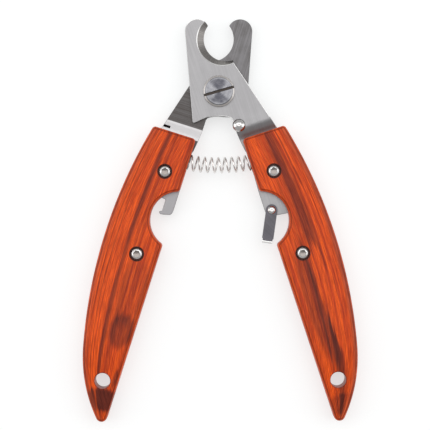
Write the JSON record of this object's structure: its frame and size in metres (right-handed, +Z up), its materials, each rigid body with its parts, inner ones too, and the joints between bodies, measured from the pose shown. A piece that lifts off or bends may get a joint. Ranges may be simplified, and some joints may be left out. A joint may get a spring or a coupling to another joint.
{
  "type": "scissor nail clipper",
  "caption": "Pliers-style pet nail clipper: two crossed steel levers with notched jaws, wooden grips, a compression spring and a swinging lock bar.",
  "frame": {"origin": "centre of the open tool's footprint, on the surface it lies on", "axes": "+Y from the grips towards the jaws, +X towards the right lever's grip, +Z up through the pivot screw's head"},
  "size_m": [0.1058, 0.155, 0.0104],
  "materials": {
    "blade_steel": "satin, fine brushing along the blade",
    "wood": "glossy varnished laminated wood, orange-red with dark streaks",
    "fastener_steel": "polished",
    "pivot_steel": "turned, slightly worn",
    "bar_steel": "dark satin",
    "spring_steel": "bright drawn wire"
  },
  "bodies": {
    "right_lever": {"front_blade": "blade_steel", "right_scale_front": "wood", "right_scale_back": "wood", "right_screw_upper": "fastener_steel", "right_screw_lower": "fastener_steel", "right_nut_upper": "fastener_steel", "right_nut_lower": "fastener_steel", "pivot_screw": "pivot_steel", "pivot_nut": "pivot_steel", "stop_pin": "fastener_steel", "lock_rivet": "fastener_steel", "return_spring": "spring_steel"},
    "left_lever": {"left_scale_front": "wood", "left_scale_back": "wood", "left_screw_upper": "fastener_steel", "left_screw_lower": "fastener_steel", "left_nut_upper": "fastener_steel", "left_nut_lower": "fastener_steel", "rear_blade": "blade_steel"},
    "lock": {"lock_bar": "bar_steel"}
  },
  "joints": [
    {"name": "lever_hinge", "type": "hinge", "parent": "right_lever", "child": "left_lever", "pos_m": [0, 0.04951, 0.0052], "axis": [0, 0, 1], "range_deg": [0, 37.5], "stiffness_Nm_per_rad": 1, "springref_deg": -8.02, "deforming": ["return_spring"]},
    {"name": "lock_hinge", "type": "hinge", "parent": "right_lever", "child": "lock", "pos_m": [0.02014, 0.00369, 0.0069], "axis": [0, 0, 1], "range_deg": [-67.6, 3.4]}
  ]
}
